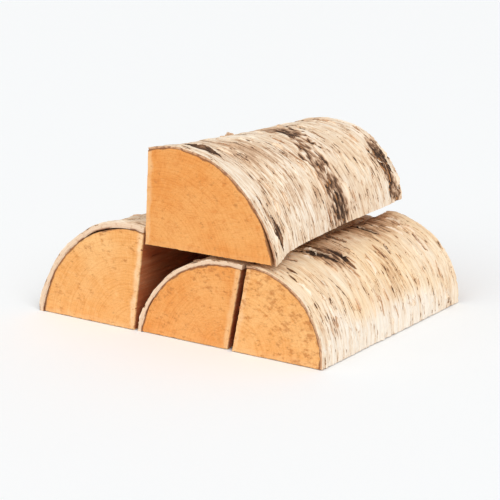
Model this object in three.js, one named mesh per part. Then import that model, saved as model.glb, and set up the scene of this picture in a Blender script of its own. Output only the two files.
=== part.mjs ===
// A small stack of split birch firewood: three wedge-shaped logs side by side on the floor and a
// fourth lying on top of them. Every log is one solid piece of wood with its bark still on.
// Millimetres, +Z up. X runs across the sawn ends, left to right, and Y runs along the logs, from
// the near ends to the far ends. The origin is on the floor, under the middle of the stack.
import * as THREE from 'three';

const arcSteps = 26; // facets round the bark of each log
const lengthSteps = 10; // stretches along each log

const rowHeight = 81.7; // highest point, at the near ends, of the two logs that carry the top one
const restingGap = 0.4; // between the top log and the logs under it
const topFloor = rowHeight + restingGap; // underside of the top log

const woodColour = 0xf2ab62;
const woodRoughness = 0.75;

// A split log is a wedge out of a round trunk. Its section has three corners, each given as
// [across, up]: the pith edge, where the two split faces meet, and the two edges where the bark
// begins and ends. The bark is an arc of the trunk's radius, clockwise from start to end. The
// section changes from the near end to the far end, because a trunk tapers and a split follows
// its grain: evenly where easing is 1, and mostly close to the near end where it is less. The
// sawn ends lie at the two places in ends, along Y.
const logs = [
  {
    name: 'log_left',
    easing: 1,
    ends: [0, 246],
    trunkRadius: 117,
    near: { pith: [116, 0], start: [0, 0], end: [131, 100] },
    far: { pith: [114, 0], start: [5, 0], end: [127, 97] },
  },
  {
    name: 'log_middle',
    easing: 1,
    ends: [1, 238],
    trunkRadius: 102,
    near: { pith: [220, 0], start: [118, 0], end: [236, 80] },
    far: { pith: [219, 0], start: [122, 0], end: [233, 80] },
  },
  {
    name: 'log_right',
    easing: 1,
    ends: [0, 250],
    trunkRadius: 75,
    near: { pith: [223, 0], start: [239.5, 81], end: [318, 0] },
    far: { pith: [222, 0], start: [236.5, 82.5], end: [320, 0] },
  },
  {
    name: 'log_top',
    easing: 0.4,
    ends: [-1, 242],
    trunkRadius: 108,
    near: { pith: [131, topFloor], start: [136.5, 172], end: [271, topFloor] },
    far: { pith: [133, topFloor + 1], start: [139.5, 165], end: [261, topFloor + 15] },
  },
];

// Centre of the circle of the given radius that passes clockwise from start to end.
function trunkCentre(start, end, radius) {
  const middle = start.clone().add(end).multiplyScalar(0.5);
  const chord = end.clone().sub(start);
  const offset = Math.sqrt(radius ** 2 - (chord.length() / 2) ** 2);
  const inward = new THREE.Vector2(chord.y, -chord.x).normalize();
  return middle.addScaledVector(inward, offset);
}

// Outline of the near section: round the bark, then straight back along the two split faces.
function nearOutline(log) {
  const [pith, start, end] = corners(log.near);
  const centre = trunkCentre(start, end, log.trunkRadius);
  const startAngle = start.clone().sub(centre).angle();
  const endAngle = end.clone().sub(centre).angle();
  const outline = new THREE.Shape();
  outline.absarc(centre.x, centre.y, log.trunkRadius, startAngle, endAngle, true);
  outline.lineTo(pith.x, pith.y);
  outline.closePath();
  return outline;
}

function corners(section) {
  return [section.pith, section.start, section.end].map(([x, z]) => new THREE.Vector2(x, z));
}

// The three corners at a share of the log's length, from 0 at the near end to 1 at the far end.
function cornersAt(log, share) {
  const far = corners(log.far);
  return corners(log.near).map((corner, i) => corner.lerp(far[i], share ** log.easing));
}

// A point of the near section, as shares of the way from the pith edge to the two bark edges.
function sharesOf(point, [pith, start, end]) {
  const toStart = start.clone().sub(pith);
  const toEnd = end.clone().sub(pith);
  const fromPith = point.clone().sub(pith);
  const area = toStart.cross(toEnd);
  return [fromPith.cross(toEnd) / area, toStart.cross(fromPith) / area];
}

// The log: the near outline drawn out along Y, with each vertex carried to where its section's
// own corners put it.
function logGeometry(log) {
  const [nearEnd, farEnd] = log.ends;
  const length = farEnd - nearEnd;
  const geometry = new THREE.ExtrudeGeometry(nearOutline(log), {
    depth: length,
    steps: lengthSteps,
    curveSegments: arcSteps,
    bevelEnabled: false,
  });
  geometry.rotateX(Math.PI / 2); // the outline's second axis turns up, and its depth to -Y
  const nearCorners = corners(log.near);
  const position = geometry.getAttribute('position');
  for (let i = 0; i < position.count; i++) {
    const share = THREE.MathUtils.clamp(1 + position.getY(i) / length, 0, 1);
    const outlinePoint = new THREE.Vector2(position.getX(i), position.getZ(i));
    const [alongStart, alongEnd] = sharesOf(outlinePoint, nearCorners);
    const [pith, start, end] = cornersAt(log, share);
    const placed = pith
      .clone()
      .addScaledVector(start.sub(pith), alongStart)
      .addScaledVector(end.sub(pith), alongEnd);
    position.setXYZ(i, placed.x, nearEnd + share * length, placed.y);
  }
  geometry.computeVertexNormals();
  return geometry;
}

const stack = new THREE.Group();
for (const log of logs) {
  const material = new THREE.MeshStandardMaterial({
    color: woodColour,
    roughness: woodRoughness,
    metalness: 0,
  });
  const mesh = new THREE.Mesh(logGeometry(log), material);
  mesh.name = log.name;
  stack.add(mesh);
}

// The middle of the stack's footprint goes over the origin.
const middle = new THREE.Box3().setFromObject(stack).getCenter(new THREE.Vector3());
stack.position.set(-middle.x, -middle.y, 0);

export default stack;
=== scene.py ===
import math

import bpy
import numpy as np
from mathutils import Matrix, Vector


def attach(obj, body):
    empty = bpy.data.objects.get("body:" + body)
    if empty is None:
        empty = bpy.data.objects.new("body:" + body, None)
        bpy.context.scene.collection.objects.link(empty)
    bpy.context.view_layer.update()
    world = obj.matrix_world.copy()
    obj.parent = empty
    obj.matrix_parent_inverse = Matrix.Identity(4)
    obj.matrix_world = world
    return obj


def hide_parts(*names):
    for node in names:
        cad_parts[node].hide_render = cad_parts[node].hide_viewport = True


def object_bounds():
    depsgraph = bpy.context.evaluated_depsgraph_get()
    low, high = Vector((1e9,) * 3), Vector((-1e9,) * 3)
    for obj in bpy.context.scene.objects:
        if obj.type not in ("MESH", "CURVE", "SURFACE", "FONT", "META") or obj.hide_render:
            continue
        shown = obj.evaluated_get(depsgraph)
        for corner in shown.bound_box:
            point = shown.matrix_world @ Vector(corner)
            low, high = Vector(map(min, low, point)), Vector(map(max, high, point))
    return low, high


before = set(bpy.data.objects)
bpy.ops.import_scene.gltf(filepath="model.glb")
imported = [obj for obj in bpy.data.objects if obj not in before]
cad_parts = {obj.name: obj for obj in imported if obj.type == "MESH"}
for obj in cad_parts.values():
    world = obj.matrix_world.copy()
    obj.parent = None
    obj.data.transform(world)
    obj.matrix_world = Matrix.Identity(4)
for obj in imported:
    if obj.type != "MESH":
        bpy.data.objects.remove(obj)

# A stack of four split birch logs. Every length below is in millimetres unless it says metres,
# in the frame's own axes: X across the sawn ends, Y along the logs, Z up.

cadLow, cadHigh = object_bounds()
toMetres = 0.001
boxLow = np.array(cadLow) / toMetres
boxHigh = np.array(cadHigh) / toMetres
boxGap = 0.02  # how far every point keeps inside that box
floorGap = 0.05  # how far every point keeps above the floor
farAway = 8.0  # a distance past which an edge or a slit leaves no mark
print("frame: the solids' box is", np.round(boxHigh - boxLow, 1), "mm")


# Camera, lights and floor

view = {
    "standsAt": (724.0, -1057.0, 373.0),
    "turn": 34.47,  # degrees to the left of looking straight along the logs
    "tilt": 13.9,  # degrees down
    "lens": 100.0,
    "sensor": 36.0,
}

studio = {
    "sky": (1.0, 0.99, 0.975),
    "skyStrength": 0.56,
    "floorTint": (0.94, 0.97, 1.0),
    "floorSize": 24.0,  # metres
    # each sun: the side it shines from, in degrees to the right of the near ends, its height in
    # degrees, how wide it looks in degrees, and its strength
    "suns": {
        "keySun": {"side": 62, "height": 42, "wide": 34, "strength": 1.4, "tint": (1.0, 0.975, 0.94)},
        "frontSun": {"side": -18, "height": 38, "wide": 60, "strength": 0.8, "tint": (1.0, 0.985, 0.97)},
    },
}


def makeCamera():
    # looks along (-sin turn * cos tilt, cos turn * cos tilt, -sin tilt)
    turn, tilt = math.radians(view["turn"]), math.radians(view["tilt"])
    camera = bpy.data.objects.new("camera", bpy.data.cameras.new("camera"))
    camera.location = Vector(view["standsAt"]) * toMetres
    camera.rotation_euler = (math.pi / 2 - tilt, 0, turn)
    camera.data.lens = view["lens"]
    camera.data.sensor_width = view["sensor"]
    camera.data.clip_end = 60
    bpy.context.scene.collection.objects.link(camera)
    bpy.context.scene.camera = camera


def makeStudio():
    for name, sun in studio["suns"].items():
        light = bpy.data.lights.new(name, "SUN")
        light.angle = math.radians(sun["wide"])
        light.energy = sun["strength"]
        light.color = sun["tint"]
        holder = bpy.data.objects.new(name, light)
        side, height = math.radians(sun["side"]), math.radians(sun["height"])
        level = math.cos(height)
        toSun = Vector((math.sin(side) * level, -math.cos(side) * level, math.sin(height)))
        holder.rotation_euler = toSun.to_track_quat("Z", "Y").to_euler()
        bpy.context.scene.collection.objects.link(holder)
    world = bpy.data.worlds.new("studioAir")
    world.use_nodes = True
    air = world.node_tree.nodes["Background"]
    air.inputs["Color"].default_value = (*studio["sky"], 1)
    air.inputs["Strength"].default_value = studio["skyStrength"]
    bpy.context.scene.world = world
    bpy.context.scene.view_settings.view_transform = "Standard"
    half = studio["floorSize"] / 2
    mesh = bpy.data.meshes.new("floor")
    corners = [(-half, -half, 0), (half, -half, 0), (half, half, 0), (-half, half, 0)]
    mesh.from_pydata(corners, [], [(0, 1, 2, 3)])
    floor = bpy.data.objects.new("floor", mesh)
    bpy.context.scene.collection.objects.link(floor)
    paper = bpy.data.materials.new("floorPaper")
    paper.use_nodes = True
    shader = paper.node_tree.nodes["Principled BSDF"]
    shader.inputs["Base Color"].default_value = (*studio["floorTint"], 1)
    shader.inputs["Roughness"].default_value = 0.9
    mesh.materials.append(paper)


makeCamera()
makeStudio()
print("camera, lamps and floor are in place")


# The logs' shapes, read from the frame


def outlineAt(points, y):
    # the section's corners at one place along the log, clockwise, from the pith corner, which is
    # the one with the two longest sides
    flat = np.unique(np.round(points[np.abs(points[:, 1] - y) < 0.05][:, [0, 2]], 3), axis=0)
    fromMiddle = flat - flat.mean(0)
    flat = flat[np.argsort(-np.arctan2(fromMiddle[:, 1], fromMiddle[:, 0]))]
    sides = np.linalg.norm(flat - np.roll(flat, 1, axis=0), axis=1)
    return np.roll(flat, -np.argmax(sides + np.roll(sides, -1)), axis=0)


def circleThrough(a, b, c):
    # the centre is as far from a as from b and from c: two straight-line equations
    centre = np.linalg.solve(2 * np.array([b - a, c - a]), [b @ b - a @ a, c @ c - a @ a])
    return centre, np.linalg.norm(a - centre)


def readLog(node):
    points = np.array([v.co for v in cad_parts[node].data.vertices]) / toMetres
    places = np.unique(np.round(points[:, 1], 2))
    outlines = [outlineAt(points, y) for y in places]
    near = outlines[0]
    centre, radius = circleThrough(near[1], near[len(near) // 2], near[-1])
    startAngle, endAngle = (math.atan2(*(p - centre)[::-1]) for p in (near[1], near[-1]))
    if endAngle > startAngle:
        endAngle -= 2 * math.pi
    return {
        "node": node,
        "places": places,
        "corners": np.array([[o[0], o[1], o[-1]] for o in outlines]),  # pith, start, end
        "toShares": np.linalg.inv(np.column_stack([near[1] - near[0], near[-1] - near[0]])),
        "centre": centre,
        "radius": radius,
        "startAngle": startAngle,
        "endAngle": endAngle,
        "arc": radius * (startAngle - endAngle),
        "near": places[0],
        "length": places[-1] - places[0],
    }


def cornerAt(log, corner, y):
    across, up = (np.interp(y, log["places"], log["corners"][:, corner, i]) for i in range(2))
    return np.stack([across, up], -1)


def pointIn(log, arcShare, growth, y):
    # arcShare of the way round the near bark, then growth of the way to it from the pith corner;
    # along the log the point keeps its shares of the way to the section's start and end corners
    arcShare, growth, y = np.broadcast_arrays(arcShare, growth, y)
    angle = log["startAngle"] + (log["endAngle"] - log["startAngle"]) * arcShare
    bark = log["centre"] + log["radius"] * np.stack([np.cos(angle), np.sin(angle)], -1)
    shares = (bark - log["corners"][0, 0]) @ log["toShares"].T
    pith, start, end = (cornerAt(log, i, y) for i in range(3))
    flat = shares[..., :1] * (start - pith) + shares[..., 1:] * (end - pith)
    flat = pith + growth[..., None] * flat
    return np.stack([flat[..., 0], y, flat[..., 1]], -1)


def insideLog(log, points, margin):
    # a point is inside a log when both its shares are above 0 and, carried to the near section, it
    # is within the trunk's radius; margin widens the log a little
    pith, start, end = (cornerAt(log, i, points[..., 1]) for i in range(3))
    sides = np.stack([start - pith, end - pith], -1)
    shares = np.linalg.solve(sides, (points[..., [0, 2]] - pith)[..., None])[..., 0]
    near = log["corners"][0]
    carried = near[0] + shares[..., :1] * (near[1] - near[0]) + shares[..., 1:] * (near[2] - near[0])
    slack = -margin / 100
    withinRound = np.linalg.norm(carried - log["centre"], axis=-1) < log["radius"] + margin
    return withinRound & (shares > slack).all(-1)


# Noise and meshes as whole arrays


def dice(i, j, seed):
    # whole-number cells i, j mixed into a fixed fraction from 0 to 1
    n = (i * 374761393 + j * 668265263 + seed * 974634777) & 0xFFFFFFFF
    n = ((n ^ (n >> 13)) * 1274126177) & 0xFFFFFFFF
    return ((n ^ (n >> 16)) & 0xFFFFFF) / 0xFFFFFF


def drift(a, b, seed):
    # gradient noise from about -1 to 1: each corner of a unit cell has a slope in a random
    # direction, and the four slopes are blended by 6t^5 - 15t^4 + 10t^3
    a, b = np.broadcast_arrays(np.asarray(a, float), np.asarray(b, float))
    i, j = np.floor(a).astype(np.int64), np.floor(b).astype(np.int64)
    p, q = a - i, b - j

    def slope(di, dj):
        turn = 2 * math.pi * dice(i + di, j + dj, seed)
        return np.cos(turn) * (p - di) + np.sin(turn) * (q - dj)

    blendP, blendQ = (t * t * t * (t * (t * 6 - 15) + 10) for t in (p, q))
    low = slope(0, 0) + blendP * (slope(1, 0) - slope(0, 0))
    high = slope(0, 1) + blendP * (slope(1, 1) - slope(0, 1))
    return 1.5 * (low + blendQ * (high - low))


def layered(a, b, seed, octaves):
    # drift summed at doubled frequencies, each half as strong as the one before
    total = sum(drift(a * 2**k, b * 2**k, seed + 31 * k) / 2**k for k in range(octaves))
    return total / (2 - 2 ** (1 - octaves))


def ramp(value, low, high):
    # 0 below low, 1 above high, smooth between
    t = np.clip((value - low) / (high - low), 0, 1)
    return t * t * (3 - 2 * t)


def gridQuads(index):
    # one quad for each cell of a grid of vertex numbers, wound first axis then second
    return np.stack([index[:-1, :-1], index[1:, :-1], index[1:, 1:], index[:-1, 1:]], -1).reshape(-1, 4)


def gridNormals(grid):
    # the first axis's direction crossed with the second's, at every grid point
    normals = np.cross(np.gradient(grid, axis=0), np.gradient(grid, axis=1))
    return normals / np.linalg.norm(normals, axis=-1, keepdims=True)


def makePiece(name, log, points, quads, triangles, fields, materials, quadMaterial=0, sharpAngle=None):
    # a closed mesh on the log's body that stands for the log's solid; fields are numbers for each
    # vertex that the materials read
    points = np.clip(points, boxLow + boxGap, boxHigh - boxGap)
    points[:, 2] = np.maximum(points[:, 2], floorGap)
    corners = np.concatenate([quads.ravel(), triangles.ravel()])
    starts = np.concatenate([np.arange(len(quads)) * 4, 4 * len(quads) + np.arange(len(triangles)) * 3])
    mesh = bpy.data.meshes.new(name)
    mesh.vertices.add(len(points))
    mesh.vertices.foreach_set("co", (points * toMetres).astype(np.float32).ravel())
    mesh.loops.add(len(corners))
    mesh.loops.foreach_set("vertex_index", corners.astype(np.int32))
    mesh.polygons.add(len(starts))
    mesh.polygons.foreach_set("loop_start", starts.astype(np.int32))
    mesh.polygons.foreach_set("use_smooth", np.ones(len(starts), bool))
    for material in materials:
        mesh.materials.append(material)
    slots = np.zeros(len(starts), np.int32)
    slots[: len(quads)] = quadMaterial
    mesh.polygons.foreach_set("material_index", slots)
    mesh.update(calc_edges=True)
    mesh.validate()
    for field, values in fields.items():
        layer = mesh.attributes.new(field, "FLOAT", "POINT")
        layer.data.foreach_set("value", values.astype(np.float32).ravel())
    if sharpAngle is not None:
        mesh.set_sharp_from_angle(angle=math.radians(sharpAngle))
    piece = bpy.data.objects.new(name, mesh)
    bpy.context.scene.collection.objects.link(piece)
    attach(piece, "root")
    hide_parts(log["node"])
    print(name, "has", len(quads) * 2 + len(triangles), "triangles")


# Materials


def newMaterial(name):
    material = bpy.data.materials.new(name)
    material.use_nodes = True
    return material, material.node_tree.nodes["Principled BSDF"]


class Nodes:
    # short ways to add and join shader nodes in one material

    def __init__(self, material):
        self.tree = material.node_tree

    def add(self, kind, **settings):
        node = self.tree.nodes.new(kind)
        for key, value in settings.items():
            setattr(node, key, value)
        return node

    def join(self, source, target):
        self.tree.links.new(source, target)

    def field(self, name):
        return self.add("ShaderNodeAttribute", attribute_name=name).outputs["Fac"]

    def stretched(self, scale, turn=(0, 0, 0)):
        # object coordinates multiplied by scale along each axis, after a turn
        place = self.add("ShaderNodeTexCoord").outputs["Object"]
        mapping = self.add("ShaderNodeMapping")
        mapping.inputs["Scale"].default_value = scale
        mapping.inputs["Rotation"].default_value = turn
        self.join(place, mapping.inputs["Vector"])
        return mapping.outputs["Vector"]

    def pair(self, first, second, scales):
        # a place on a plane from two numbers, each multiplied by its own scale
        node = self.add("ShaderNodeCombineXYZ")
        for socket, value, scale in zip(node.inputs, (first, second), scales):
            self.join(self.times(value, scale), socket)
        return node.outputs["Vector"]

    def noise(self, where, detail=3.0, roughness=0.55):
        node = self.add("ShaderNodeTexNoise")
        node.inputs["Scale"].default_value = 1.0
        node.inputs["Detail"].default_value = detail
        node.inputs["Roughness"].default_value = roughness
        self.join(where, node.inputs["Vector"])
        return node.outputs["Fac"]

    def line(self, value, detail=2.0):
        # noise along a single number
        node = self.add("ShaderNodeTexNoise", noise_dimensions="1D")
        node.inputs["Scale"].default_value = 1.0
        node.inputs["Detail"].default_value = detail
        self.join(value, node.inputs["W"])
        return node.outputs["Fac"]

    def sum(self, operation, first, second=None, third=None):
        node = self.add("ShaderNodeMath", operation=operation)
        for i, value in enumerate((first, second, third)):
            if value is None:
                continue
            if isinstance(value, (int, float)):
                node.inputs[i].default_value = value
            else:
                self.join(value, node.inputs[i])
        return node.outputs[0]

    def times(self, first, second):
        return self.sum("MULTIPLY", first, second)

    def scaled(self, value, factor, onto):
        # value times factor, added onto another number
        return self.sum("MULTIPLY_ADD", value, factor, onto)

    def fade(self, value, low, high, first=0.0, last=1.0):
        node = self.add("ShaderNodeMapRange", interpolation_type="SMOOTHSTEP")
        for key, number in (("From Min", low), ("From Max", high), ("To Min", first), ("To Max", last)):
            node.inputs[key].default_value = number
        self.join(value, node.inputs["Value"])
        return node.outputs["Result"]

    def colours(self, value, stops):
        node = self.add("ShaderNodeValToRGB")
        edges = node.color_ramp.elements
        while len(edges) < len(stops):
            edges.new(0.5)
        for edge, (place, colour) in zip(edges, stops):
            edge.position = place
            edge.color = (*colour, 1)
        self.join(value, node.inputs["Fac"])
        return node.outputs["Color"]

    def mix(self, share, first, second, blend="MIX"):
        node = self.add("ShaderNodeMix", data_type="RGBA", blend_type=blend)
        if isinstance(share, float):
            node.inputs[0].default_value = share
        else:
            self.join(share, node.inputs[0])
        for socket, value in ((node.inputs[6], first), (node.inputs[7], second)):
            if isinstance(value, tuple):
                socket.default_value = (*value, 1)
            else:
                self.join(value, socket)
        return node.outputs[2]

    def tints(self, colour, look, rows):
        # mixes a tint in where a pattern is strong; a row is the pattern, where it starts and
        # ends, the tint's share at both, and the tint's name
        for pattern, low, high, first, last, tint in rows:
            colour = self.mix(self.fade(pattern, low, high, first, last), colour, look[tint])
        return colour

    def dress(self, shader, colour, normal, roughness, specular):
        sockets = (("Base Color", colour), ("Normal", normal), ("Roughness", roughness))
        for socket, value in sockets:
            self.join(value, shader.inputs[socket])
        shader.inputs["Specular IOR Level"].default_value = specular

    def bump(self, height, distance, strength, after=None):
        node = self.add("ShaderNodeBump")
        node.inputs["Distance"].default_value = distance
        node.inputs["Strength"].default_value = strength
        self.join(height, node.inputs["Height"])
        if after is not None:
            self.join(after, node.inputs["Normal"])
        return node.outputs["Normal"]


sawnLook = {
    "sap": (0.90, 0.43, 0.125),
    "late": (0.74, 0.29, 0.065),
    "cream": (0.95, 0.55, 0.22),
    "pale": (0.95, 0.64, 0.36),
    "amber": (0.93, 0.76, 0.56),
    "fleck": (0.52, 0.18, 0.038),
    "innerBark": (0.26, 0.095, 0.035),
    "ringsPerMetre": 520.0,
}


def makeSawnEnd():
    # end grain: soft growth rings by distance from the pith, broken up by mottling; brown specks
    # where the piece's specks field is high, and paler wood where its paleEdge field is
    look = sawnLook
    material, shader = newMaterial("sawnBirchEnd")
    n = Nodes(material)
    wander = n.noise(n.stretched((32, 32, 32)), detail=2)
    wobble = n.noise(n.stretched((150, 150, 150)), detail=2)
    ringPlace = n.scaled(wander, 0.006, n.field("growth"))
    ringPlace = n.scaled(wobble, 0.0012, ringPlace)
    rings = n.line(n.times(ringPlace, look["ringsPerMetre"]), detail=2.0)
    broad = n.noise(n.stretched((17, 17, 17)), detail=3)
    mottle = n.noise(n.stretched((130, 130, 130)), detail=5, roughness=0.68)
    grit = n.noise(n.stretched((620, 620, 620)), detail=4, roughness=0.72)
    rays = n.noise(n.pair(n.field("round"), n.field("growth"), (950.0, 55.0)), detail=3, roughness=0.62)
    saw = n.noise(n.stretched((50, 50, 1000), (0, math.radians(62), 0)), detail=3)
    colour = n.mix(n.fade(broad, 0.35, 0.68), look["sap"], look["cream"])
    ringShare = n.times(n.fade(rings, 0.38, 0.80), n.fade(broad, 0.3, 0.7, 0.68, 0.2))
    colour = n.mix(ringShare, colour, look["late"])
    colour = n.tints(colour, look, [
        (mottle, 0.30, 0.50, 0.55, 0.0, "cream"),
        (mottle, 0.52, 0.70, 0.0, 0.60, "late"),
        (rays, 0.50, 0.66, 0.0, 0.30, "late"),
        (rays, 0.34, 0.46, 0.30, 0.0, "cream"),
        (saw, 0.52, 0.68, 0.0, 0.22, "late"),
        (grit, 0.50, 0.70, 0.0, 0.50, "late"),
    ])
    paleEdge = n.times(n.field("paleEdge"), n.fade(mottle, 0.35, 0.62, 1.0, 0.6))
    colour = n.mix(paleEdge, colour, look["pale"])
    colour = n.mix(n.field("amber"), colour, look["amber"], blend="MULTIPLY")
    specks = n.noise(n.stretched((150, 150, 230), (0, math.radians(35), 0)), detail=5, roughness=0.7)
    specks = n.scaled(n.field("specks"), 0.08, specks)
    colour = n.mix(n.fade(specks, 0.59, 0.75, 0.0, 0.70), colour, look["fleck"])
    # the dark line under the bark wavers and breaks
    edge = n.scaled(n.sum("SUBTRACT", mottle, 0.5), 0.004, n.field("rimGap"))
    edge = n.scaled(n.sum("SUBTRACT", wander, 0.46), 0.006, edge)
    colour = n.mix(n.fade(edge, 0.0006, 0.0019, 0.85, 0.0), colour, look["innerBark"])
    normal = n.bump(saw, 0.0007, 0.7)
    normal = n.bump(mottle, 0.0008, 0.5, normal)
    normal = n.bump(rays, 0.0003, 0.5, normal)
    normal = n.bump(grit, 0.0004, 0.7, normal)
    n.dress(shader, colour, normal, n.fade(grit, 0.3, 0.8, 0.62, 0.8), 0.3)
    return material


splitLook = {
    "fibre": (0.88, 0.50, 0.20),
    "light": (0.94, 0.66, 0.36),
    "deep": (0.60, 0.26, 0.08),
    # red: the colour of the painted shade on split faces in the gaps between the logs
    "red": (0.34, 0.072, 0.02),
    "underBark": (0.42, 0.19, 0.07),
}


def makeSplitFace():
    # long grain torn open: streaks along the log, painted shade as a deeper tone where the face is torn
    # deeper, and dark red painted shade where a face looks into a gap between the logs
    look = splitLook
    material, shader = newMaterial("splitBirchGrain")
    n = Nodes(material)
    broad = n.noise(n.stretched((60, 5, 60)), detail=3)
    fine = n.noise(n.stretched((900, 22, 900)), detail=3)
    colour = n.mix(n.fade(broad, 0.35, 0.65), look["fibre"], look["light"])
    streaks = n.noise(n.stretched((260, 9, 260)), detail=4, roughness=0.6)
    colour = n.tints(colour, look, [
        (streaks, 0.50, 0.68, 0.0, 0.55, "deep"),
        (fine, 0.52, 0.75, 0.0, 0.45, "deep"),
        # painted shade: darker where the split face is torn deeper into the wood
        (n.field("torn"), 0.45, 0.9, 0.0, 0.65, "deep"),
    ])
    # painted shade: the split faces turn dark red where they look into the narrow gaps between the logs
    gapShade = n.times(n.field("gapShade"), n.fade(broad, 0.25, 0.75, 1.0, 0.82))
    colour = n.mix(gapShade, colour, look["red"])
    colour = n.mix(n.fade(n.field("rimGap"), 0.0005, 0.003, 1.0, 0.0), colour, look["underBark"])
    normal = n.bump(fine, 0.0006, 0.7, n.bump(streaks, 0.0012, 0.6))
    n.dress(shader, colour, normal, n.fade(fine, 0.3, 0.7, 0.6, 0.8), 0.3)
    return material


barkLook = {
    "chalk": (0.94, 0.85, 0.74),
    "cream": (0.86, 0.71, 0.55),
    "tan": (0.66, 0.45, 0.30),
    "brown": (0.27, 0.145, 0.08),
    "black": (0.05, 0.026, 0.015),
    "warm": (1.0, 0.87, 0.68),
    "innerBark": (0.62, 0.33, 0.16),
    "innerDark": (0.25, 0.09, 0.035),
    "innerPale": (0.86, 0.66, 0.48),
    "edgeTone": 0.46,  # how dark the shade under a loose edge is
    "layerTone": 0.075,  # how much darker each layer is than the one over it
}


def makeBarkMaterial():
    # papery birch bark: tone runs from chalk white to black, with soft streaks and short dashes
    # round the log, a broken line of painted shadow under each layer's edge, and slits darkened
    # partly by painted shade; through the thickness a white skin lies on brown bark
    look = barkLook
    material, shader = newMaterial("paperyBirchBark")
    n = Nodes(material)
    tone = n.field("tone")
    streaks = n.noise(n.stretched((34, 380, 34)), detail=4, roughness=0.62)
    threads = n.noise(n.stretched((110, 1300, 110)), detail=2)
    blotches = n.noise(n.stretched((45, 90, 45)), detail=4, roughness=0.6)
    regions = n.noise(n.stretched((16, 24, 16)), detail=3, roughness=0.5)
    dashes = n.noise(n.stretched((120, 820, 120), (0, 0, math.radians(4))), detail=1)
    longDashes = n.noise(n.stretched((46, 420, 46), (0, 0, math.radians(-5))), detail=2)
    # how strong the streaks are differs from place to place
    strength = n.scaled(n.field("streaky"), 0.8, n.fade(regions, 0.38, 0.62, 0.45, 0.8))
    streakTone = n.times(n.sum("SUBTRACT", streaks, 0.5), strength)
    threadTone = n.times(n.sum("SUBTRACT", threads, 0.5), strength)
    tone = n.sum("ADD", streakTone, tone)
    tone = n.scaled(threadTone, 0.7, tone)
    tone = n.scaled(n.sum("SUBTRACT", blotches, 0.5), 0.46, tone)
    dashes = n.times(n.fade(dashes, 0.60, 0.72), n.fade(regions, 0.44, 0.58, 0.1, 0.9))
    dashes = n.times(dashes, n.fade(n.field("streaky"), 0.0, 0.7, 0.15, 1.0))
    tone = n.scaled(dashes, 0.34, tone)
    longDashes = n.times(n.fade(longDashes, 0.62, 0.72), n.fade(blotches, 0.46, 0.60))
    longDashes = n.times(longDashes, n.fade(n.field("streaky"), 0.0, 0.5, 0.1, 1.0))
    tone = n.scaled(longDashes, 0.5, tone)
    broken = n.times(n.fade(streaks, 0.45, 0.60), n.fade(blotches, 0.45, 0.56))
    for edge in ("edgeA", "edgeB", "edgeC"):
        gap = n.field(edge)
        tone = n.scaled(n.fade(gap, -0.15, 0.15, 1.0, 0.0), look["layerTone"], tone)
        # painted shadow: a dark line just below each loose layer's edge, broken in places
        under = n.fade(n.sum("ABSOLUTE", n.sum("ADD", gap, 0.4)), 0.1, 0.6, 1.0, 0.0)
        tone = n.scaled(n.times(under, broken), look["edgeTone"], tone)
    # darker inside each slit: the lenticels' own dark colour, and painted shade in the open cracks and under
    # the curls peeling from them
    tone = n.scaled(n.fade(n.field("slit"), -0.3, 0.35, 1.0, 0.0), 0.75, tone)
    stops = [(0.0, look["chalk"]), (0.24, look["cream"]), (0.46, look["tan"])]
    stops += [(0.72, look["brown"]), (1.0, look["black"])]
    colour = n.colours(tone, stops)
    colour = n.mix(n.field("warmth"), colour, look["warm"], blend="MULTIPLY")
    inside = n.noise(n.stretched((300, 300, 300)), detail=4, roughness=0.65)
    strata = n.line(n.scaled(n.field("through"), 9.0, inside))
    pale = n.mix(n.fade(strata, 0.48, 0.66, 0.0, 0.55), look["innerPale"], look["innerBark"])
    pale = n.mix(n.fade(inside, 0.54, 0.72, 0.0, 0.7), pale, look["innerBark"])
    inside = n.mix(n.fade(inside, 0.4, 0.65), look["innerBark"], look["innerDark"])
    inside = n.mix(n.field("paleRim"), inside, pale)
    seam = n.times(n.fade(n.field("through"), 0.75, 0.95), n.fade(blotches, 0.42, 0.56, 0.15, 1.0))
    inside = n.mix(seam, inside, look["innerDark"])
    colour = n.mix(n.fade(n.field("through"), 0.08, 0.3), colour, inside)
    normal = n.bump(streaks, 0.0010, 0.5)
    normal = n.bump(threads, 0.0004, 0.5, normal)
    n.dress(shader, colour, normal, n.fade(tone, 0.1, 0.7, 0.5, 0.85), 0.35)
    return material


sawnEnd, splitFace, birchBark = makeSawnEnd(), makeSplitFace(), makeBarkMaterial()
print("materials are ready")


# Wood: the sawn ends, the two split faces and the round under the bark

wood = {
    "radialSteps": 110,
    "arcSteps": 90,
    "lengthSteps": 120,
    "hollowDepth": 2.4,  # how far the trunk's round is dented at most
    "tornDepth": 3.8,
    "faceReach": 7,  # how deep into the wood the shape of a split face carries
    "edgeRound": 0.5,  # how far the split faces' edges at the sawn ends are worn back
    "edgeReach": 0.5,
    "sawDepth": 0.5,  # how deep the saw's waves are, and how far from the ends they die out
    "sawReach": 1.5,
}

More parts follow.
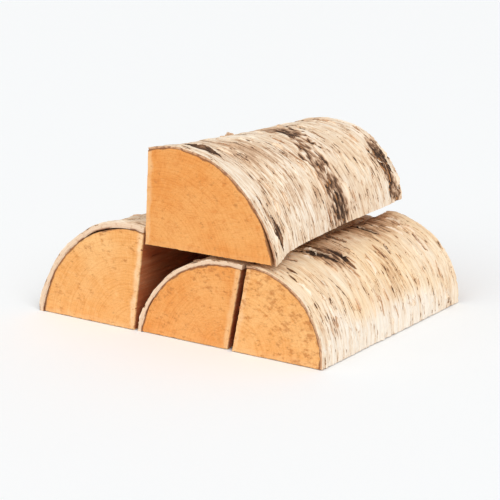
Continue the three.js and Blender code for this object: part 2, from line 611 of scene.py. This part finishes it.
# what each log's wood shows: the bark's thickness over it; then, the start side first, how pale its
# split edges are on the sawn ends, how strong the painted shade is on its split faces where they
# look into the gaps between the logs, and how far they are set back; how many specks its sawn ends
# have, and how amber they are
woodMarks = {
    "left": {
        "barkDepth": 6.6, "paleEdges": (0.25, 1.0), "gapShade": (0.2, 1.0), "setBack": (0, 0),
        "specks": 0.7, "amber": 0.0,
    },
    "middle": {
        "barkDepth": 5.4, "paleEdges": (0.15, 1.0), "gapShade": (0.2, 1.0), "setBack": (0, 1.0),
        "specks": 1.0, "amber": 0.75,
    },
    "right": {
        "barkDepth": 3.4, "paleEdges": (0.5, 0.2), "gapShade": (1.0, 0.2), "setBack": (1.0, 0),
        "specks": 1.6, "amber": 0.0,
    },
    "top": {
        "barkDepth": 3.4, "paleEdges": (1.0, 0.15), "gapShade": (0.0, 0.35), "setBack": (0, 0),
        "specks": 0.35, "amber": 0.9,
    },
}


def hollow(s, y, seed):
    # the dents of a grown trunk, at arc length s and distance y along: broad and medium swells
    broad = layered(s / 75, y / 95, seed + 700, 2)
    medium = drift(s / 24, y / 34, seed + 710)
    return wood["hollowDepth"] * np.clip(0.42 + 0.42 * broad + 0.16 * medium, 0, 1)


def tornDepth(across, along, seed):
    # how deep a split face is torn, from 0 to 1: long swells, ledges that run with the grain and
    # wander, and fine ridges; all far longer along the log than across it
    bend = across + 5 * drift(across / 70, along / 110, seed) + 1.2 * drift(across / 20, along / 45, seed + 2)
    swell = 0.5 + 0.5 * layered(bend / 40, along / 170, seed + 1, 2)
    ledges = sum(ramp(layered(bend / 13, along / 120, seed + 5 + k, 3), 0.0, 0.07) for k in range(3)) / 3
    ridges = 0.5 + 0.5 * layered(bend / 2.6, along / 60, seed + 9, 2)
    return 0.42 * swell + 0.34 * ledges + 0.24 * ridges


def makeWood(log, marks, seed):
    # one closed mesh: a loop round the wedge's section at each place along the log, and a grid from
    # the pith to that loop on each sawn end. A point is the pith corner plus its growth times the
    # way to the bark less the bark's thickness and dents, moved in by the split faces' shifts
    nr, nu, ny = wood["radialSteps"], wood["arcSteps"], wood["lengthSteps"]
    radial, around = np.arange(nr + 1) / nr, np.arange(nu + 1) / nu
    # a loop round the section: pith to start, round the bark side to end, and back to the pith
    loopGrowth = np.concatenate([radial, np.ones(nu), radial[-2:0:-1]])
    loopRound = np.concatenate([np.zeros(nr + 1), around[1:], np.ones(nr - 1)])
    # places along the log, closer together at the two sawn ends
    t = np.arange(ny + 1) / ny
    along = log["length"] * (t - 0.9 * np.sin(2 * math.pi * t) / (2 * math.pi))
    widths = [np.linalg.norm(log["corners"][0, k] - log["corners"][0, 0]) for k in (1, 2)]

    def faceShift(side, growth, y):
        # a split face moves into the wood by its torn depth, by how far it is set back, and by a
        # little more at the ends
        ends = sum(np.exp(-gap / wood["edgeReach"]) for gap in (y, log["length"] - y))
        depth = tornDepth(growth * widths[side], y, seed + 40 * side)
        calm = 0.3 + 0.7 * ramp(y, 0, 40) * (0.4 + 0.6 * ramp(log["length"] - y, 0, 25))
        return wood["tornDepth"] * depth * calm + wood["edgeRound"] * ends + marks["setBack"][side]

    def inward(side):
        # square to the split face, pointing into the wood
        face = log["corners"][0, 1 + side] - log["corners"][0, 0]
        other = log["corners"][0, 2 - side] - log["corners"][0, 0]
        square = np.array([-face[1], face[0]]) / np.linalg.norm(face)
        return square * np.sign(square @ other)

    def place(arcShare, growth, y):
        # the plain wedge under the bark, then both faces' shifts, which die out into the wood
        arcShare, growth, y = np.broadcast_arrays(arcShare, growth, y)
        edge = pointIn(log, arcShare, 1.0, log["near"] + y)
        reach = np.linalg.norm(edge - pointIn(log, arcShare, 0.0, log["near"] + y), axis=-1)
        dent = hollow(arcShare * log["arc"], y, seed)
        grown = growth * (1 - (marks["barkDepth"] + dent) / reach)
        points = pointIn(log, arcShare, grown, log["near"] + y)
        gaps = [share * log["arc"] * growth for share in (arcShare, 1 - arcShare)]
        for side in (0, 1):
            shift = faceShift(side, growth, y) * np.exp(-((gaps[side] / wood["faceReach"]) ** 2))
            points[..., [0, 2]] += shift[..., None] * inward(side)
        uneven = 1 + 0.35 * drift(growth * 9, arcShare * 4, seed + 60)
        paleEdge = [share * ramp(gap * uneven, 7, 3) for share, gap in zip(marks["paleEdges"], gaps)]
        specks = marks["specks"] * (0.5 + 0.5 * ramp(growth, 0.35, 0.95))
        return points, {
            "growth": grown * log["radius"] * toMetres,
            "rimGap": (1 - growth) * reach * toMetres,
            "round": arcShare * log["arc"] * toMetres,
            "paleEdge": np.maximum(*paleEdge),
            "specks": specks,
            "amber": np.full(growth.shape, marks["amber"]),
        }

    def sawn(points, seed):
        # the saw leaves shallow waves across the end
        x, z = points[..., 0], points[..., 2]
        waves = 0.5 + 0.5 * drift((x * 0.5 + z * 0.87) / 5, (x * 0.87 - z * 0.5) / 60, seed)
        broad = 0.5 + 0.5 * drift(x / 45, z / 45, seed + 1)
        return wood["sawDepth"] * (0.35 * waves + 0.65 * broad)

    y = np.broadcast_to(along, (len(loopRound), ny + 1))
    sides, numbers = place(loopRound[:, None], loopGrowth[:, None], y)
    near, far = (np.exp(-gap / wood["sawReach"]) for gap in (along, log["length"] - along))
    sides[..., 1] += sawn(sides, seed + 80) * near - sawn(sides, seed + 90) * far
    first = loopRound[:, None] < 0.5
    # the split face material darkens by this as painted shade in the deeper tears
    numbers["torn"] = np.where(
        first,
        tornDepth(loopGrowth[:, None] * widths[0], y, seed),
        tornDepth(loopGrowth[:, None] * widths[1], y, seed + 40),
    )
    # painted shade on the faces that look into the gaps between the logs, fading in over the first 3 mm from
    # the near end
    numbers["gapShade"] = np.where(first, *marks["gapShade"]) * ramp(y, 0, 3)
    sideIndex = np.arange(sides.shape[0] * (ny + 1)).reshape(-1, ny + 1)
    closed = np.vstack([sideIndex, sideIndex[:1]])
    points = [sides.reshape(-1, 3)]
    quads = [gridQuads(closed)]
    slots = [np.ones(len(quads[0]), np.int32)]
    fields = {key: [np.broadcast_to(values, y.shape).ravel()] for key, values in numbers.items()}
    count = sides.size // 3
    triangles = []
    for end in (0, ny):
        # the end's border is the sides' own; inside it a grid of its own, which fans at the pith
        u, g = np.meshgrid(around[1:-1], radial[1:-1], indexing="ij")
        cap, numbers = place(u, g, np.full(u.shape, along[end]))
        relief = sawn(cap, seed + (80 if end == 0 else 90))
        cap[..., 1] += relief if end == 0 else -relief
        index = np.empty((nu + 1, nr + 1), np.int64)
        index[1:-1, 1:-1] = count + np.arange(u.size).reshape(u.shape)
        index[0] = sideIndex[: nr + 1, end]
        index[:, nr] = sideIndex[nr : nr + nu + 1, end]
        index[nu, 1:] = sideIndex[-np.arange(1, nr + 1), end]
        index[:, 0] = sideIndex[0, end]
        cells = gridQuads(index)
        # the cells at the pith have two corners in one place, so they are triangles
        fan = np.stack([index[1:, 1], index[:-1, 1], index[:-1, 0]], -1)
        cells = cells.reshape(nu, nr, 4)[:, 1:].reshape(-1, 4)
        quads.append(cells if end == 0 else cells[:, ::-1])
        triangles.append(fan if end == 0 else fan[:, ::-1])
        slots.append(np.zeros(len(cells), np.int32))
        points.append(cap.reshape(-1, 3))
        for key, values in fields.items():
            values.append(np.broadcast_to(numbers.get(key, 0.0), u.shape).ravel())
        count += u.size
    makePiece(
        log["node"] + ".wood",
        log,
        np.concatenate(points),
        np.concatenate(quads),
        np.concatenate(triangles),
        {key: np.concatenate(values) for key, values in fields.items()},
        [sawnEnd, splitFace],
        np.concatenate(slots),
        sharpAngle=42,
    )
    # the two split faces, as grids from one long edge to the other, and the places along them
    back = np.concatenate([sides[nr + nu :], sides[:1]])
    return [(sides[: nr + 1], radial * widths[0], along), (back, radial * widths[1], along)]


# Bark

bark = {
    "aroundStep": 1.5,  # mesh size on the outside, round the log and along it
    "alongStep": 0.75,
    "coarse": 4,  # the inside's mesh is this many times larger
    "sunk": 0.9,  # how far the outside's mean lies within the log's solid
    "bedded": 0.2,  # how far the inside reaches into the wood
    # each layer: its patches' length round the log and along it, and its level: the lower that is,
    # the more the layer covers
    "layers": {"edgeA": (70, 8.0, -0.16), "edgeB": (42, 6.5, -0.02), "edgeC": (26, 4.5, 0.20)},
    "layerStep": 0.36,
    "lip": 0.6,  # how high a layer's loose edge stands
    "nearFray": 0.6,  # how ragged the bark's sawn ends are, unless a log says otherwise
    "farFray": 3.4,
    "lenticelArea": 620,  # square millimetres for each lenticel
}


def shellFaces(ns, ny, k, rings):
    # faces of a closed shell: the outer grid, rings of the same count round its border, and an
    # inner grid k times coarser, joined to the last ring by fans of triangles
    outer = np.arange((ns + 1) * (ny + 1)).reshape(ns + 1, ny + 1)
    i = np.concatenate([np.arange(ns), np.full(ny, ns), np.arange(ns, 0, -1), np.zeros(ny, int)])
    j = np.concatenate([np.zeros(ns, int), np.arange(ny), np.full(ns, ny), np.arange(ny, 0, -1)])
    count = outer.size
    loops = [outer[i, j]]
    for _ in range(rings):
        loops.append(count + np.arange(len(i)))
        count += len(i)
    quads = [gridQuads(outer)]
    for a, b in zip(loops[:-1], loops[1:]):
        quads.append(np.stack([np.roll(a, -1), a, b, np.roll(b, -1)], -1))
    across, down = ns // k, ny // k
    inner = count + np.arange((across - 1) * (down - 1)).reshape(across - 1, down - 1)
    quads.append(gridQuads(inner)[:, ::-1])
    apex = inner[np.clip(i[::k] // k, 1, across - 1) - 1, np.clip(j[::k] // k, 1, down - 1) - 1]
    last = loops[-1]
    fans = np.stack([np.roll(last, -1), last, np.repeat(apex, k)], -1)
    nextApex = np.roll(apex, -1)
    gaps = np.stack([np.roll(last, -k)[::k], apex, nextApex], -1)[apex != nextApex]
    return np.concatenate(quads), np.concatenate([fans, gaps]), (i, j)


def edgeDistance(field, level, stepS, stepY):
    # about how far each point is from where the field passes the level: the difference over the
    # field's slope, positive on the high side
    slopeS, slopeY = np.gradient(field, stepS, stepY)
    return np.clip((field - level) / np.maximum(np.hypot(slopeS, slopeY), 1e-4), -farAway, farAway)


def slitDistance(s, y, slits, uneven):
    # distance to the nearest slit, each a lens of half length and half width about its middle,
    # torn wider and narrower by the uneven field, negative inside it
    nearest = np.full(s.shape, farAway)
    for middleS, middleY, halfLength, halfWidth, slant in slits:
        aside = s - middleS
        beyond = np.maximum(np.abs(aside) - halfLength, 0)
        lens = halfWidth * (1 - np.clip(aside / halfLength, -1, 1) ** 2) * (1 + 0.9 * uneven)
        gap = np.abs(y - middleY - slant * aside) - lens + 0.6 * beyond
        nearest = np.minimum(nearest, gap)
    return nearest


def patched(s, y, rows, uneven, soft):
    # the sum of oval patches with uneven borders, each given by its middle and half size, both as
    # arc length and distance along, and by how much it adds
    total = np.zeros(s.shape)
    for middleS, middleY, halfS, halfY, adds in rows:
        away = np.hypot((s - middleS) / halfS, (y - middleY) / halfY)
        total += adds * ramp(1 + uneven - away, 0, soft)
    return total


def barkFields(log, s, y, steps, marks, seed):
    # the bark's height over its mean surface, and the numbers that its material reads, at arc
    # length s and distance y along the log
    wander = y + 3.0 * drift(s / 60, y / 70, seed + 1) + 0.9 * drift(s / 21, y / 24, seed + 2)
    height = 0.22 * drift(s / 40, wander / 3.1, seed + 3) + 0.12 * drift(s / 17, wander / 1.7, seed + 4)
    tone = marks["tone"] + 0.10 * layered(s / 60, y / 40, seed + 7, 3)
    fields = {}
    for k, (name, (long, wide, level)) in enumerate(bark["layers"].items()):
        n = layered(s / long, wander / wide, seed + 11 + 7 * k, 4)
        n = n + 0.55 * drift(s / 60, y / 48, seed + 70 + k)
        gap = edgeDistance(n, level, *steps)
        over = ramp(gap, -0.3, 0.3)
        loose = ramp(drift(s / 30, y / 16, seed + 60 + k), 0.0, 0.6)
        lip = bark["lip"] * loose * over * np.exp(-((np.maximum(gap, 0) / 1.5) ** 2))
        height += bark["layerStep"] * (over - 1) + lip
        # painted highlight: a loose edge's lifted lip is drawn lighter
        tone -= 0.12 * lip
        fields[name] = gap
    weathered = np.zeros_like(s)
    for band in marks.get("bands", []):
        middle = np.interp(s, *np.transpose(band["path"])) + 3 * drift(s / 22, y / 50, seed + 91)
        inside = band["halfWidth"] * (1 + 0.25 * drift(s / 18, y / 40, seed + 92)) - np.abs(y - middle)
        inside = inside + 1.6 * drift(s / 7, y / 6, seed + 93)
        weathered = np.maximum(weathered, band["strength"] * ramp(inside, -0.8, 2.2) * ramp(s, *band["from"]))
    rough = layered(s / 11, wander / 5.5, seed + 95, 4)
    height += weathered * (1.6 * rough - 0.9)
    tone += weathered * (0.40 - 0.80 * rough)
    tone += patched(s, y, marks["patches"], 0.35 * rough, 0.6)
    count = int(log["arc"] * log["length"] / bark["lenticelArea"])
    random = np.random.default_rng(seed)
    slits = np.column_stack([
        random.uniform(0, log["arc"], count),
        random.uniform(0, log["length"], count),
        2 + 5 * random.random(count) ** 2,
        0.35 + 0.35 * random.random(count),
        random.uniform(-0.05, 0.05, count),
    ])
    fields["slit"] = slitDistance(s, y, [*slits, *marks["slits"]], rough)
    height += 0.3 * np.exp(-((fields["slit"] / 1.2) ** 2)) - 0.7 * ramp(-fields["slit"], -0.2, 0.5)
    height -= 1.1 * ramp(-fields["slit"], 0.4, 1.6)
    fields["tone"] = tone
    warmth = marks["warmth"] + 0.45 * layered(s / 48, y / 55, seed + 97, 2)
    warmth += patched(s, y, marks.get("warmPatches", []), 0.25 * rough, 0.7)
    streaky = marks["streaky"] + 0.6 * layered(s / 40, y / 50, seed + 98, 2)
    streaky += patched(s, y, marks.get("streakPatches", []), 0.25 * rough, 0.7)
    fields["streaky"] = np.clip(streaky, 0, 1.6)
    fields["warmth"] = np.clip(warmth, 0, 1) * (1 - 0.8 * weathered)
    return height, fields


def makeBark(log, marks, depth, seed):
    # a closed shell: the outside is the log's round, sunk a little, plus the height and the lift
    # along its normal; the inside lies under it by the bark's thickness, and a rim joins the two
    k = bark["coarse"]
    ns = k * round(log["arc"] / bark["aroundStep"] / k)
    ny = k * round(log["length"] / bark["alongStep"] / k)
    quads, triangles, (i, j) = shellFaces(ns, ny, k, 2)
    steps = (log["arc"] / ns, log["length"] / ny)
    s, y = np.meshgrid(np.arange(ns + 1) * steps[0], np.arange(ny + 1) * steps[1], indexing="ij")
    height, fields = barkFields(log, s, y, steps, marks, seed + 500)
    dent = hollow(s, y, seed)
    # ragged borders: short frays at the split edges and the far end, a cleaner saw cut near
    fray = [0.5 + 1.1 * np.abs(layered(y / 14, s / 60, seed + 510 + c, 3)) for c in (0, 1)]
    nearFray, farFray = bark["nearFray"], marks.get("farFray", bark["farFray"])
    ragged = [r * (0.3 + np.abs(layered(s / 6, y / 60, seed + 520, 3))) for r in (nearFray, farFray)]
    toEnds = (s, log["arc"] - s, y, log["length"] - y)
    s = s + fray[0] * np.exp(-toEnds[0] / 3) - fray[1] * np.exp(-toEnds[1] / 3)
    runOut = 2.4 * farFray  # longer than any fray is deep, so that the grid can't fold over itself
    y = y + ragged[0] * np.exp(-toEnds[2] / 4) - ragged[1] * np.exp(-toEnds[3] / runOut)
    surface = pointIn(log, s / log["arc"], 1.0, log["near"] + y)
    normals = gridNormals(surface)
    # the bark stands off the wood a little at the ends, and more where a mark says so
    off = (0.25 + 0.9 * np.maximum(layered(s / 26, y / 60, seed + 530, 2), 0))
    off = off * (np.exp(-toEnds[2] / 14) + np.exp(-toEnds[3] / 14))
    for middleS, middleY, wideS, wideY, lift in marks["lifts"]:
        off += lift * np.exp(-(((s - middleS) / wideS) ** 2)) * np.exp(-(((y - middleY) / wideY) ** 2))
    outside = surface + normals * (height - bark["sunk"] - dent + off)[..., None]
    inside = surface - normals * (depth + bark["bedded"] + dent - off)[..., None]
    rim = outside[i, j]
    innerRim = inside[i, j]
    middleRim = rim + 0.45 * (innerRim - rim)
    innerGrid = inside[k:-k:k, k:-k:k]
    points = np.concatenate([outside.reshape(-1, 3), middleRim, innerRim, innerGrid.reshape(-1, 3)])
    count = len(i)
    fields["paleRim"] = np.full(s.shape, marks["paleRim"])

    def spread(field):
        return np.concatenate([field.ravel(), field[i, j], field[i, j], np.zeros(innerGrid.size // 3)])

    fields = {name: spread(field) for name, field in fields.items()}
    fields["through"] = np.concatenate(
        [np.zeros(s.size), np.full(count, 0.5), np.ones(count + innerGrid.size // 3)]
    )
    makePiece(log["node"] + ".bark", log, points, quads, triangles, fields, [birchBark], sharpAngle=70)
    return outside, np.arange(ns + 1) * steps[0], np.arange(ny + 1) * steps[1]


# Loose strips: curled bark and wood splinters

curls = {"peelSteps": 9, "lineSteps": 18, "thickness": 0.3, "count": 34}
splinters = {"peelSteps": 14, "lineSteps": 4, "thickness": 0.5, "count": 26}
stripGap = 0.1  # how far a strip keeps inside the stack's box, or it is left out


def sampled(grid, first, second, a, b):
    # the grid's points at distances a and b along its two axes, blended from the four round them
    p = np.clip(np.interp(a, first, np.arange(len(first))), 0, len(first) - 1.001)
    q = np.clip(np.interp(b, second, np.arange(len(second))), 0, len(second) - 1.001)
    i, j = p.astype(int), q.astype(int)
    p, q = (p - i)[..., None], (q - j)[..., None]
    low = grid[i, j] * (1 - p) + grid[i + 1, j] * p
    high = grid[i, j + 1] * (1 - p) + grid[i + 1, j + 1] * p
    return low * (1 - q) + high * q


def bentStrips(surface, rows, look, seed):
    # each strip peels off a surface along a line. A row gives the line's middle on the surface's
    # two axes, the direction of peeling in degrees, the strip's length that way, the line's
    # length, and the angle that it bends through. Its angle over the surface grows as u^1.4, so
    # its place and height are the sums of the angle's cosine and sine
    grid, first, second = surface
    rows = np.asarray(rows, float).reshape(-1, 6)
    middleA, middleB, heading, length, line, bend = rows.T[:, :, None, None]
    nu, nv = look["peelSteps"], look["lineSteps"]
    u = (np.arange(nu + 1) / nu)[None, :, None]
    v = (np.arange(nv + 1) / nv * 2 - 1)[None, None, :]
    number = np.arange(len(rows))[:, None, None]
    frayed = 0.78 + 0.35 * drift(v * 2.3 + number * 7.7, number * 3.1 + 0 * v, seed)
    frayed = frayed + 0.16 * drift(v * 8.1 + number * 5.3, number * 1.7 + 0 * v, seed + 1)
    reach = length * np.maximum(frayed * (1 - np.abs(v) ** 2.6) ** 0.6, 0.08)
    angle = np.radians(bend) * (1 + 0.25 * drift(v * 1.3 + number * 2.9, 0 * v, seed + 2)) * u**1.4
    stride = reach / nu

    def runningSum(values):
        middle = (values[:, 1:] + values[:, :-1]) / 2 * stride
        return np.concatenate([np.zeros_like(middle[:, :1]), np.cumsum(middle, 1)], 1)

    out, up = runningSum(np.cos(angle)), runningSum(np.sin(angle))
    turn = np.radians(heading)
    aside = v * line / 2
    a = middleA + out * np.cos(turn) - aside * np.sin(turn)
    b = middleB + out * np.sin(turn) + aside * np.cos(turn)
    normals = sampled(gridNormals(grid), first, second, a, b)
    top = sampled(grid, first, second, a, b) + normals * (up - 0.25 + 0.5 * u)[..., None]
    across = np.cross(np.gradient(top, axis=1), np.gradient(top, axis=2))
    across /= np.maximum(np.linalg.norm(across, axis=-1, keepdims=True), 1e-6)
    return top, top - across * look["thickness"]


def makeStrips(name, log, surface, rows, look, material, numbers, seed):
    # the strips whose points keep clear of the other logs and of the stack's box, in one mesh;
    # each is a closed thin shell: two grids and the faces between their borders
    top, under = bentStrips(surface, rows, look, seed)
    clear = np.ones(len(top), bool)
    for face in (top, under):
        clear &= ((face > boxLow + stripGap) & (face < boxHigh - stripGap)).all((1, 2, 3))
        for other in logs.values():
            if other is not log:
                clear &= ~insideLog(other, face, 1.0).any((1, 2))
    top, under = top[clear], under[clear]
    count, nu, nv = len(top), look["peelSteps"], look["lineSteps"]
    index = np.arange((nu + 1) * (nv + 1)).reshape(nu + 1, nv + 1)
    border = np.concatenate([index[:-1, 0], index[-1, :-1], index[:0:-1, -1], index[0, :0:-1]])
    below = index.size
    shell = [gridQuads(index), gridQuads(index + below)[:, ::-1]]
    shell.append(np.stack([np.roll(border, -1), border, border + below, np.roll(border, -1) + below], -1))
    shell = np.concatenate(shell)
    quads = (shell + np.arange(count)[:, None, None] * 2 * below).reshape(-1, 4)
    points = np.stack([top, under], 1).reshape(-1, 3)
    fields = {key: np.full(len(points), value) for key, value in numbers.items()}
    if "through" in numbers:
        fields["through"] = np.tile(np.repeat([0.0, numbers["through"]], below), count)
        fields["paleRim"] = np.repeat(0.35 + 0.65 * dice(np.arange(count), 7, seed), 2 * below)
        shades = 0.10 * drift(np.arange(count) * 1.37, 0.5, seed + 5)
        fields["tone"] = fields["tone"] + np.repeat(shades, 2 * below)
    print(name, "keeps", count, "of", len(clear), "strips")
    makePiece(name, log, points, quads, np.empty((0, 3), int), fields, [material], sharpAngle=60)


def makeCurls(log, surface, placed, seed):
    # the log's own placed curls, then random ones that peel along it either way
    random = np.random.default_rng(seed)
    count = curls["count"]
    rows = np.column_stack([
        random.uniform(6, log["arc"] - 6, count),
        random.uniform(6, log["length"] - 6, count),
        random.choice([90, -90], count) + random.uniform(-14, 14, count),
        random.uniform(1.6, 5.0, count),
        random.uniform(5, 20, count),
        random.uniform(25, 150, count),
    ])
    numbers = {"tone": 0.1, "warmth": 0.35, "streaky": 0.3, "slit": farAway, "through": 0.5}
    numbers |= {name: farAway for name in bark["layers"]}
    makeStrips(log["node"] + ".curls", log, surface, [*placed, *rows], curls, birchBark, numbers, seed)


def makeSplinters(log, marks, faces, seed):
    # random splinters on both split faces, long, narrow and nearly in line with the grain
    for side, face, gapShade in zip(("start", "end"), faces, marks["gapShade"]):
        random = np.random.default_rng(seed + len(side))
        count = splinters["count"]
        rows = np.column_stack([
            random.uniform(4, face[1][-1] - 4, count),
            random.uniform(10, log["length"] - 60, count),
            random.uniform(86, 94, count) * random.choice([1, -1], count),
            random.uniform(14, 46, count),
            random.uniform(1.0, 3.2, count),
            random.uniform(1, 6, count),
        ])
        # the splinters carry their face's painted gap shade
        numbers = {"torn": 0.2, "rimGap": 0.02, "gapShade": gapShade}
        name = log["node"] + ".splinters_" + side
        makeStrips(name, log, face, rows, splinters, splitFace, numbers, seed)


# what each log's bark shows. A place on it is an arc length round from the bark's first edge and a
# distance along from the near end. Patches (of tone), warmPatches, streakPatches and lifts are rows
# of middle, half size and how much they add; a slit is its middle, half length, half width and
# slant; a curl is a row as bentStrips takes it. A band is a path of places, half its width, its
# strength, and the arc lengths between which it fades in
barkMarks = {
    "left": {
        "tone": 0.16,
        "streaky": 0.4,
        "warmth": 0.3,
        "paleRim": 0.95,
        "bands": [
            {"path": [(0, 70), (90, 84), (183, 76)], "halfWidth": 9, "strength": 0.7, "from": (20, 40)},
        ],
        "patches": [(60, 180, 40, 30, 0.16)],
        "slits": [(40, 150, 13, 1.1, 0.04), (120, 40, 9, 0.9, -0.03), (96, 205, 12, 1.2, 0.02)],
        "lifts": [(135, 0, 32, 16, 1.3), (14, 0, 20, 20, 1.4)],
        "curls": [(60, 6, 90, 6, 26, 60), (110, 30, -95, 6, 24, 120)],
    },
    "middle": {
        "tone": 0.16,
        "streaky": 0.4,
        "warmth": 0.4,
        "paleRim": 0.95,
        # painted shade: darker bark where this log faces into the gap beside the left log
        "patches": [(60, 120, 30, 40, 0.15)],
        "slits": [(60, 60, 10, 1.0, 0.0), (110, 180, 12, 1.0, 0.03)],
        "lifts": [(30, 0, 20, 14, 0.8), (150, 237, 50, 22, -2.2)],
        "curls": [(40, 30, 90, 5, 20, 90)],
    },
    "right": {
        "tone": 0.05,
        "streaky": 0.15,
        "warmth": 0.7,
        "paleRim": 0.2,
        # the first two rows are painted light: less warm and whiter on the lower part of the round, which
        # faces the key sun
        "warmPatches": [
            (122, 120, 32, 170, -0.9),
            (100, 30, 40, 40, -0.5),
            (60, 140, 40, 70, 0.3),
        ],
        "streakPatches": [(0, 130, 46, 160, 0.6)],
        # the first five rows darken the top of the round where the top log overhangs it, partly the bark's
        # own tan and partly painted shade cast by the top log; the row at 118 is painted light, whiter low
        # down
        "patches": [
            (4, 190, 44, 70, 0.36),
            (20, 90, 32, 46, 0.26),
            (2, 14, 18, 20, 0.55),
            (30, 84, 26, 22, 0.34),
            (0, 110, 10, 140, 0.2),
            (118, 120, 34, 150, -0.08),
            (62, 150, 22, 18, 0.10),
        ],
        "slits": [
            (40, 97, 18, 3.8, 0.1),
            (50, 164, 7, 1.8, -0.4),
            (56, 219, 12, 1.9, -0.1),
            (33, 24, 7, 1.4, 0.0),
            (25, 75, 22, 3.8, 0.6),
            (67, 58, 16, 0.7, 0.3),
            (14, 40, 12, 1.6, 0.3),
            (12, 128, 14, 1.8, -0.1),
            (18, 176, 16, 2.0, 0.1),
        ],
        "lifts": [(24, 80, 12, 8, 1.2)],
        "curls": [
            (24, 81, -59, 4, 26, 105),
            (40, 103, -84, 3.6, 22, 95),
            (50, 166, -112, 4.5, 14, 100),
            (56, 221, -96, 5, 24, 95),
            (14, 42, -73, 5, 22, 120),
            (60, 120, 80, 4, 18, 80),
            (12, 130, -95, 5.5, 26, 120),
            (18, 179, -84, 5.5, 30, 110),
            (34, 204, 94, 4, 20, 70),
        ],
    },
    "top": {
        "tone": 0.13,
        "farFray": 4.6,
        "streaky": 0.5,
        "warmth": 0.25,
        "streakPatches": [(140, 50, 50, 60, 0.7)],
        "paleRim": 0.15,
        "bands": [
            {
                "path": [(0, 150), (60, 146), (100, 126), (130, 127), (150, 128), (176, 124)],
                "halfWidth": 15,
                "strength": 1.2,
                "from": (20, 54),
            },
            {"path": [(0, 238), (120, 234), (176, 228)], "halfWidth": 11, "strength": 1.5, "from": (92, 112)},
        ],
        "patches": [
            (60, 58, 44, 46, 0.20),
            (22, 146, 44, 24, 0.24),
            (20, 225, 40, 22, 0.16),
        ],
        "slits": [
            (47, 18, 24, 4.4, -0.05),
            (50, 83, 8, 1.6, 0.0),
            (37, 165, 9, 1.8, -0.3),
            (86, 148, 11, 2.0, 0.0),
            (125, 219, 14, 2.7, 0.5),
            (150, 230, 12, 1.8, -0.1),
            (152, 126, 7, 2.0, 0.0),
            (160, 16, 18, 4.0, 0.0),
        ],
        "lifts": [(176, 4, 30, 26, 3.0), (46, 24, 22, 6, 2.4)],
        "curls": [
            (46, 8, 87, 2.6, 36, 16),
            (50, 80, 90, 3, 16, 30),
            (86, 150.5, -90, 4.5, 22, 85),
            (124, 222.5, -63, 6, 30, 95),
            (158, 6.5, 90, 3.4, 30, 34),
            (150, 237, 92, 6, 40, 50),
            (120, 238, 84, 5, 24, 70),
            (96, 106, -75, 4, 26, 60),
            (134, 112, -92, 5, 30, 80),
            (150, 142, 94, 5, 26, 90),
        ],
    },
}


logs = {name: readLog("log_" + name) for name in ("left", "middle", "right", "top")}
for number, (name, log) in enumerate(logs.items(), start=1):
    seed, marks = 1000 * number, barkMarks[name]
    faces = makeWood(log, woodMarks[name], seed)
    surface = makeBark(log, marks, woodMarks[name]["barkDepth"], seed)
    makeCurls(log, surface, marks["curls"], seed + 700)
    makeSplinters(log, woodMarks[name], faces, seed + 800)
    print("log", name, "is made")
